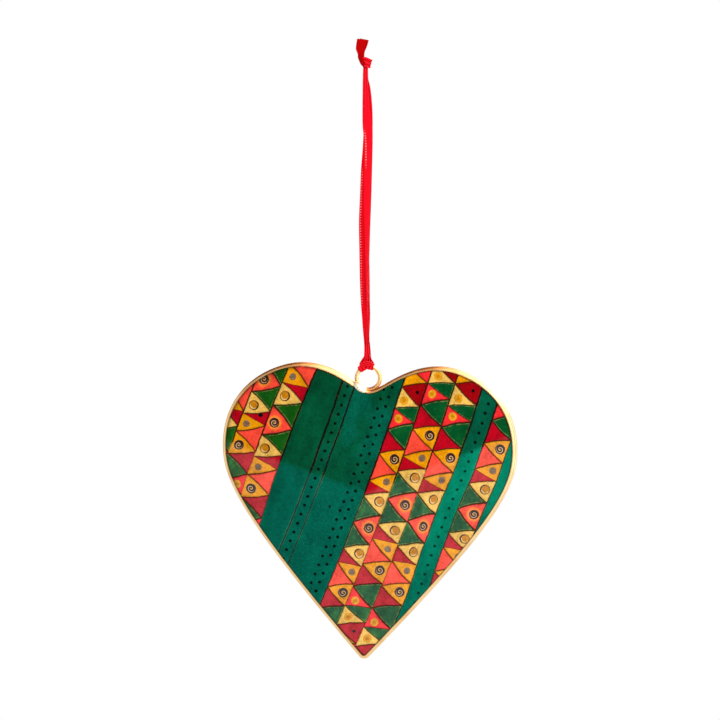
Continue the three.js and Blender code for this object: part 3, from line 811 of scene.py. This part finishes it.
def makePanelPaint(name, mirrored):
    pattern, brush, colours = bandPattern, brushLook, paintColours
    finish = Finish(name, {"Coat Weight": 0.06, "Coat Roughness": 0.06, "Coat IOR": 1.5,
                           "Specular IOR Level": 0.0})
    ca, sa = wave(pattern["slant"])
    x, _, z = finish.objectXyz(1000)
    x = x - pattern["middle"][0]
    x = x * (-pattern["foreshortened"] if mirrored else pattern["foreshortened"])
    z = z - pattern["middle"][1]
    above = z - abs(x) * pattern["lowSlope"][0] - x * pattern["lowSlope"][1]
    low = above.ramp(*pattern["lowHeight"])
    across, along = x * ca - z * sa, x * -sa - z * ca

    def coats(under, *layers):
        # a colour is given by its name, or as made here
        named = [(share, colours.get(over, over)) for share, over in layers]
        return finish.layered(colours.get(under, under), named)

    # bands drawn by hand: they bow and waver a little
    def stray(kind, detail, *at):
        size, reach = brush[kind]
        return (finish.noise(size, detail, at) - 0.5) * reach

    main = across.ramp(*brush["bowEdge"])
    for share, (shift, centre, bend) in ((main, brush["mainBow"]), (1 - main, brush["leftBow"])):
        across = across - share * (shift + (along + centre) ** 2.0 * bend)
    upper, lower = (along.ramp(*run) for run in brush["bulgeRuns"])
    across = across + across.ramp(*brush["bulgeEdge"]) * upper * lower * brush["bulge"]
    across = across + stray("hand", 2.0, across * 0.4, along, 3.0) + stray("shake", 3.0, across, along, 9.0)
    along = along + stray("drift", 2.0, across, along, 21.0)

    # the column that a point is in
    run, left, width, side, inside = 0.0, 0.0, 0.0, 0.0, 0.0
    for start, end, middle, right in pattern["columns"]:
        here = (across > start) * (across < end)
        inside = here + inside
        run, left = here * middle + run, here * start + left
        width, side = here * (end - start) + width, here * right + side
    share = (across - left) / width.higher(0.1)
    share = side * share + (1 - side) * (1 - share)
    signed = along - run
    isUpper = signed < 0
    further = (across > pattern["farColumn"]) * (pattern["farRun"] - 1) + 1
    stretch = pattern["lowerRun"] + isUpper * (pattern["upperRun"] - pattern["lowerRun"])
    away = abs(signed) * stretch * further

    # tiles: steps of uneven length become even ones, then two sets of triangles fill the column
    tiles, steps = pattern["tiles"], [step for _, _, step in pattern["tiles"]]
    count, reach = len(steps), sum(steps)
    apexes = [sum(steps[:k]) for k in range(count)]
    stops = [(apex / reach, grey(k / count)) for k, apex in enumerate(apexes)] + [(1, grey(1))]
    phase = finish.node("ShaderNodeValToRGB", dict(curve="LINEAR", stops=stops), away / reach) * count
    evenTile = (phase * 0.5 + 0.5).math("FLOOR") * 2
    oddTile = (phase * 0.5).math("FLOOR") * 2 + 1
    gap = abs(phase - evenTile)
    bowed = share + (share * math.pi).math("SINE") * pattern["tileBow"]
    isEven = gap < bowed
    tile = isEven * evenTile + (1 - isEven) * oddTile
    lookUp = (tile + 0.5) / count

    def tileRamp(values):
        ordered = [(k / count, value) for k, value in enumerate(values)]
        return finish.node("ShaderNodeValToRGB", dict(curve="CONSTANT", stops=ordered), lookUp)

    tileColour = tileRamp([colours[colour] for colour, _, _ in tiles])
    isLeaf = tileRamp([grey(colour == "leaf") for colour, _, _ in tiles])
    marks = tileRamp([(mark == "spiral", mark == "disc", mark == "spot", 1) for _, mark, _ in tiles])
    isSpiral, isDisc, isSpot = finish.split(marks, "ShaderNodeSeparateColor")
    centres = []
    for k, (_, mark, step) in enumerate(tiles):
        weight = pattern["markWeights"][mark]
        before, after = apexes[k - 1] if k else -step, apexes[k] + step
        centres.append((weight * apexes[k] + (1 - weight) * 0.5 * (before + after)) / reach)
    markAway = tileRamp([grey(centre) for centre in centres]) * reach

    # marks inside a tile: spirals, discs, spots and black dots
    markShare = pattern["markShare"] * isEven + (1 - pattern["markShare"]) * (1 - isEven)
    u, v = away - markAway, (share - markShare) * width
    far = distance(u, v)
    turn = (u * (1 - isUpper * 2)).math("ARCTAN2", v) / (2 * math.pi)
    isMiddle, inner, isDotted = tile < 0.5, tile < 2.5, abs(tile - pattern["blackDot"]) < 0.5
    daub = finish.noise(brush["daub"], 3.0, (across, along, 40.0))
    grain = finish.noise(brush["grain"], 2.0, (across, along, 90.0))
    patchy = finish.noise(brush["patch"], 3.0, (across, along * 0.5, 60.0))

    radius = pattern["spiralRadius"]
    whorl = abs((far / pattern["spiralPitch"] - turn + 8).math("FRACT") - 0.5)
    inSpiral = far.ramp(radius + 0.1, radius - 0.1) * isSpiral
    stroke = whorl.ramp(0.42, 0.3).higher(abs(far - radius + 0.15).ramp(0.3, 0.16))
    inSpot = far.ramp(pattern["spotRadius"] + 0.15, pattern["spotRadius"] - 0.2) * isSpot
    spotColour = coats("grey", (grain.ramp(0.42, 0.62) * 0.85, "swirl"))

    isDisc = isDisc * inner.higher(across < pattern["farColumn"])
    radius = pattern["discRadii"][1] + inner * (pattern["discRadii"][0] - pattern["discRadii"][1])
    gold = coats("gold",
        (inner, "oldGold"),
        (abs(far - radius * 0.8).ramp(0.6, 0.1) * (1 - inner) * 0.4, "sun"))
    arc = abs(far - radius * 0.7).ramp(0.24, 0.06) * (0.06 + turn.ramp(-0.04, 0.1) * inner * 0.75)
    rim = abs(far - radius * 0.88).ramp(0.3, 0.1)
    worn = rim * (0.1 + inner * (0.25 + abs(turn).ramp(0.2, 0.4) * 0.8))
    worn = worn + far.ramp(0.7, 0.2) * (1 - inner) * 0.15

    fringe = abs(isEven - share).ramp(0.07, 0.015) * daub.ramp(0.3, 0.6) * 0.8
    mossy = (patchy.ramp(0.48, 0.75) + daub.ramp(0.5, 0.75) * 0.5) * (0.15 + low * 0.4)
    tileColour = coats(tileColour,
        (isLeaf * (1 - main), "leafLeft"),
        (isLeaf * fringe, "lime"),
        (isLeaf * mossy.lower(1.0), "moss"),
        (far.ramp(2.7, 1.5) * isMiddle * 0.8, "glow"),
        ((far - radius).ramp(0.12, -0.12) * isDisc, gold),
        (arc * isDisc * daub.ramp(0.3, 0.5), "pearl"),
        (worn * isDisc * (0.5 + daub), "inkBrown"),
        (inSpot * 0.92, spotColour),
        (inSpiral * 0.75, "chalk"),
        (inSpiral * stroke, "swirl"),
        (inSpiral * far.ramp(0.45, 0.25) * turn.ramp(-0.2, 0.2) * 0.7, "cream"),
        # the dotted crimson tile is darker above the reflection's edge than below it: painted reflection
        (isDotted * (1 - low), "garnet"),
        (far.ramp(0.62, 0.42) * isDotted, "ink"),
        # painted reflection: a haze over the tiles below the edge
        (low * pattern["lowReflection"], "haze"))

    # ground between the bands, with its rows of dots
    brushed = finish.noise(brush["streak"], 5.0, (across * 2.2, along * 0.35, 80.0), 0.6) - 0.5
    cloud = finish.noise(brush["cloud"], 3.0, (across, along * 0.6, 120.0))
    # the ground is paler below the reflection's edge: painted reflection
    reflectedGround = low * (0.8 + across.ramp(-32, -8) * 0.2 + brushed * 0.4).lower(1.0)
    # the right-hand stripe turns paler below the reflection's edge: painted reflection
    pale = coats("paleTop",
        (low, "paleLow"),
        (z.ramp(*brush["paleFade"]) * 0.75, "greenLow"),
        (z.ramp(*brush["outerFade"]) * (across > brush["outerStripe"]) * 0.75, "greenLow"))
    radius = pattern["dotRadius"]
    dots, paler = 0.0, low * (across > brush["palerDots"])
    for right, down, size in pattern["strayDots"]:
        dots = distance(across - right, along - down).ramp(size, size - 0.2).higher(dots)
    for row, first, pitch in pattern["dotRows"]:
        offset = ((along - first) / pitch + 40.5).math("FRACT") * pitch - 0.5 * pitch
        spacing = distance(across - row, offset)
        dots = (spacing + paler * 0.03).ramp(radius + 0.1, radius - 0.14).higher(dots)
    colour = coats("greenTop",
        ((along / 30 + 1.1 + brushed * 1.6).ramp(0.0, 1.0), "greenMid"),
        (reflectedGround, "greenLow"),
        (cloud.ramp(0.36, 0.6) * across.ramp(*brush["tealEdge"]) * 0.7, "teal"),
        # a band of painted shade just above the reflection's edge
        (above.ramp(*brush["darkFrom"]) * above.ramp(*brush["darkTo"]) * 0.5, "greenDark"),
        (across.ramp(*brush["paleEdge"]), pale),
        (inside, tileColour),
        (dots * (1 - paler * 0.14), "dot"))

    # inked lines, with a darker edge of paint or a pale gap beside them
    nearest = 9.0
    sides = [edge for column in pattern["columns"] for edge in column[:2]]
    edges = {edge: pattern["sharedThinner"] * (sides.count(edge) - 1) for edge in sides}
    for edge, thinner in sorted((edges | dict(pattern["ruledLines"])).items()):
        nearest = (abs(across - edge) + thinner).lower(nearest)
    leftOf, leftThinner = pattern["leftThinner"]
    thinned = low * (pattern["lowerThinner"] + (across < leftOf) * leftThinner)
    line, thin = pattern["lineWidth"], pattern["edgeWidth"]
    ruled = (nearest + thinned + (grain - 0.5) * 0.25).ramp(line + 0.12, line - 0.08)
    toEdge = abs(gap - bowed) * 3.1
    drawn = (toEdge + (grain - 0.5) * 0.2).ramp(thin + 0.12, thin - 0.07) * inside
    byTile = abs(toEdge - 0.34).ramp(0.14, 0.05) * daub.ramp(0.3, 0.7) * isLeaf * inside
    byLine = abs(nearest - 0.26).ramp(0.09, 0.03) * patchy.ramp(0.48, 0.66) * (1 - inside)
    ink = coats("ink", ((daub.ramp(0.58, 0.8) + low * 0.4).lower(1.0), "inkBrown"))
    colour = coats(colour,
        (toEdge.lower(nearest).ramp(0.7, 0.2) * inside * 0.16, "inkBrown"),
        (byTile * 0.5, "straw"),
        (byLine * (0.3 - low * 0.2), "straw"),
        (ruled.higher(drawn * 0.9) * (0.7 + daub * 0.5).lower(1.0), ink))

    # hand mixed paint: a little lighter and darker from place to place, painted shade over the bands left of
    # the bow's edge, and a dark line where the paint ends at the rim
    speckled = across.ramp(*brush["tealEdge"]) * across.ramp(*brush["speckleEnd"]) * (1 - inside)
    shade = patchy + daub * 0.8 + grain * 0.8 + brush["lightness"] + (grain - 0.5) * speckled
    # painted shade over the bands left of the bow's edge
    shade = shade * (main + (1 - main) * brush["leftShade"])
    colour = finish.mix(1.0, colour, finish.vector(shade, shade, shade), "MULTIPLY")
    colour = coats(colour, (finish.shade() * daub.ramp(0.2, 0.5) * 0.9, "rimInk"))
    finish.wear("Base Color", colour)
    finish.rough(brush["roughness"], daub)
    finish.bump(patchy * 0.5 + daub * 0.1, brush["dents"], 0.25)
    return finish.material


frontPaint = makePanelPaint("front_paint", False)
backPaint = makePanelPaint("back_paint", True)
print("finishes mixed")

for name, side, node in (("front_dish", -1, "front_shell"), ("back_dish", 1, "back_shell")):
    settle(place(name, shellMesh(name, side), brass), "heart", node)
skins = [("front_skin", -1, "front_panel", frontPaint), ("back_skin", 1, "back_panel", backPaint)]
for name, side, node, paint in skins:
    settle(place(name, panelMesh(name, side), paint), "heart", node)

seamShape = dict(recess=0.1, half=0.26, bulge=0.16, inside=0.6, cuts=8)


def seamMesh(name, shape):
    rings = []
    for k in range(shape["cuts"] + 1):
        co, si = wave(k * 180 / shape["cuts"] - 90)
        rings.append(insetRing(shape["recess"] + shape["bulge"] * (1 - co), shape["half"] * si))
    rings += [insetRing(shape["inside"], shape["half"] * side) for side in (1, -1)]
    return skinMesh(name, rings, loop=True, shades=[[1.0] * len(outline)] * len(rings))


settle(place("seam_line", seamMesh("seam_line", seamShape), solder), "heart", "seam_solder")
print("heart pressed and painted")


def ringMesh(name, shape):
    rings = []
    for k in range(shape["steps"]):
        ca, sa = wave(k * 360 / shape["steps"])
        out = Vector((sa, 0, ca))
        middle = Vector(shape["centre"]) + out * shape["radius"]
        ring = []
        for i in range(shape["wireSteps"]):
            c, s = wave(i * 360 / shape["wireSteps"])
            ring.append(middle + (out * c + Vector((0, s, 0))) * (shape["wire"] / 2))
        rings.append(ring)
    return skinMesh(name, rings, loop=True)


settle(place("wire_ring", ringMesh("wire_ring", ringShape), brass), "heart", "hanging_ring")

beadShape = dict(angle=37, length=2.85, height=1.35, depth=2.0, forward=1.3, reach=3.8,
                 lumps=(0.07, 0.05), steps=16, points=24)


def beadMesh(name, shape):
    ca, sa = wave(shape["angle"])
    along, out = Vector((ca, 0, -sa)), Vector((-sa, 0, -ca))
    middle = Vector(ringShape["centre"]) + out * shape["reach"] - Vector((0, shape["forward"], 0))
    big, small = shape["lumps"]
    rings = []
    for k in range(1, shape["steps"]):
        co, si = wave(k * 180 / shape["steps"])
        ring = []
        for i in range(shape["points"]):
            c, s = wave(i * 360 / shape["points"])
            lump = 1 + big * math.sin(3 * c + 2 * co) + small * math.cos(5 * s - co)
            ring.append(middle + along * (shape["length"] * co)
                        + (out * (shape["height"] * c) + Vector((0, shape["depth"] * s, 0))) * (si * lump))
        rings.append(ring)
    return skinMesh(name, rings, middle + along * shape["length"], middle - along * shape["length"])


settle(place("ring_bead", beadMesh("ring_bead", beadShape), solder), "heart", "ring_solder")
print("ring soldered on")

# Pale floor under the hanging heart, white world, plain lamps
floorLook = dict(height=-0.3, radius=0.5, rings=12, points=48, colour=(0.86, 0.86, 0.86, 1),
                 lift=0.45, fade=(0.35, 0.95))
worldLook = dict(
    fill=0.72, room=0.6, level=1.12, behind=0.4,
    # in reflections the room is dark up on the left, bright up on the right and a little below that
    dusk=0.83, duskWay=(-0.4, 0.917), duskTint=(1, 0.44, 0.13, 1), glow=2.9, glowWay=(0.5, 0.866),
    flank=1.0, flankWay=(0.8, -0.6))
lamps = [  # name, place, aim, size, watts
    ("side_lamp", (0.34, -0.36, 0.06), (0.0, 0, -0.12), 0.26, 0.5),
    ("front_lamp", (0.0, -0.78, 0.45), (0, 0, -0.1), 0.5, 2.6),
]


def makeFloor(look):
    radius, height = look["radius"] / mm, look["height"] / mm
    spokes = [wave(i * 360 / look["points"]) for i in range(look["points"])]
    rings = []
    for k in range(1, look["rings"] + 1):
        out = radius * k / look["rings"]
        rings.append([Vector((out * ca, out * sa, height)) for ca, sa in spokes])
    mesh = skinMesh("floor", rings, Vector((0, 0, height)))
    finish = Finish("pale_floor", {"Roughness": 0.9, "Base Color": look["colour"]})
    x, y, _ = finish.objectXyz(1.0)
    camera, glossy, through = finish.rays()
    fade = distance(x, y).ramp(*(look["radius"] * share for share in look["fade"]))
    white = camera.higher(through) * (look["lift"] + fade * (1 - look["lift"]))
    glow = finish.node("ShaderNodeEmission", None, (1, 1, 1, 1), 1.0)
    mixed = finish.node("ShaderNodeMixShader", None, white.higher(glossy))
    finish.tree.links.new(finish.shader.outputs[0], mixed.socket.node.inputs[1])
    finish.tree.links.new(glow.socket, mixed.socket.node.inputs[2])
    finish.tree.links.new(mixed.socket, finish.tree.nodes["Material Output"].inputs["Surface"])
    place("floor", mesh, finish.material)


def makeWorld(look):
    world = bpy.data.worlds.new("studio")
    scene.world = world
    world.use_nodes = True
    nodes = Nodes(world.node_tree)
    camera, glossy, through = nodes.rays()
    right, toBack, up = nodes.split(nodes.node("ShaderNodeTexCoord", None, out="Generated"))
    outward = distance(right, up)

    def towards(way, edge, fade):
        return ((right * way[0] + up * way[1]) / outward).ramp(*edge) * outward.ramp(*fade)

    dusk = towards(look["duskWay"], (0.65, 0.97), (0.05, 0.4))
    glow = towards(look["glowWay"], (0.7, 0.96), (0.05, 0.3))
    flank = towards(look["flankWay"], (0.3, 1.0), (0.1, 0.4))
    level = look["room"] + toBack.ramp(-0.95, -0.55) * (look["level"] - look["room"])
    level = level - toBack.ramp(0.5, 0.95) * look["behind"]
    mirrored = level * (1 - dusk * look["dusk"]) + glow * look["glow"] + flank * look["flank"]
    seen = camera.higher(through)
    tint = nodes.mix(glossy * (1 - seen) * dusk, (1, 1, 1, 1), look["duskTint"])
    background = world.node_tree.nodes["Background"].inputs
    nodes.feed(background["Color"], tint)
    nodes.feed(background["Strength"], seen + (1 - seen) * (glossy * mirrored + (1 - glossy) * look["fill"]))


def makeLamp(name, at, aim, size, watts):
    lamp = bpy.data.lights.new(name, "AREA")
    lamp.size = size
    lamp.energy = watts
    piece = bpy.data.objects.new(name, lamp)
    piece.visible_glossy = False
    scene.collection.objects.link(piece)
    piece.location = at
    piece.rotation_euler = (Vector(aim) - Vector(at)).to_track_quat("-Z", "Y").to_euler()


makeFloor(floorLook)
makeWorld(worldLook)
for lamp in lamps:
    makeLamp(*lamp)
print("stage lit")
